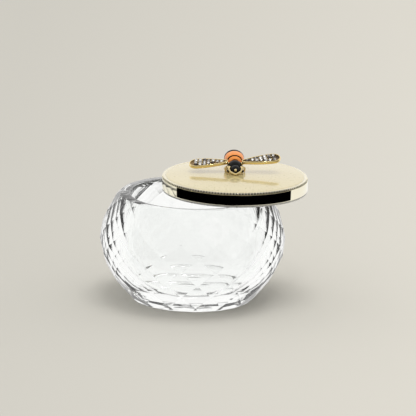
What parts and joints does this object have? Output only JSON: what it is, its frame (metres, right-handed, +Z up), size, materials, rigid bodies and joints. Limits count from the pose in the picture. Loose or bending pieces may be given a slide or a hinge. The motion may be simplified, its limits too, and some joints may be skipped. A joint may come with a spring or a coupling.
{
  "type": "dappen dish",
  "caption": "Round facet-cut clear glass dish with a flat ground rim and a shallow pale gold lid, which carries a milled edge and a jewelled bee finial.",
  "frame": {"origin": "centre of the dish's flat foot, on the surface it stands on", "axes": "+Z up along the dish's axis. The bee looks along -Y, turned 2.5 degrees towards +X, and the lid is drawn off towards +X and +Y"},
  "size_m": [0.0718, 0.0644, 0.0491],
  "materials": {
    "crystal": "polished clear",
    "seal": "clear soft silicone",
    "lid_gold": "mirror polished pale gold plate",
    "liner": "plain moulded",
    "bee_gold": "polished gold plate",
    "amber_enamel": "glossy enamel",
    "black_enamel": "glossy enamel",
    "stones": "foil-backed cut stones",
    "steel": "plain"
  },
  "bodies": {
    "bowl": {"glass_bowl": "crystal"},
    "seal": {"seal_ring": "seal"},
    "lid": {"lid_shell": "lid_gold", "milled_ring": "lid_gold", "lid_liner": "liner", "bee_body": "bee_gold", "abdomen_enamel": "amber_enamel", "abdomen_stripes": "black_enamel", "thorax_enamel": "black_enamel", "head_enamel": "black_enamel", "face_bead": "bee_gold", "bee_eyes": "black_enamel", "bee_feelers": "bee_gold", "bee_legs": "bee_gold", "left_wing": "bee_gold", "left_wing_stones": "stones", "left_wing_grains": "bee_gold", "right_wing": "bee_gold", "right_wing_stones": "stones", "right_wing_grains": "bee_gold", "finial_washer": "steel", "finial_screw": "steel"}
  },
  "joints": [
    {"name": "lid_slide", "type": "slide", "parent": "bowl", "child": "seal", "axis": [-0.9191, -0.3939, 0], "range_m": [-0.006, 0.0155]},
    {"name": "lid_lift", "type": "slide", "parent": "seal", "child": "lid", "axis": [0, 0, 1], "range_m": [0, 0.06]}
  ]
}
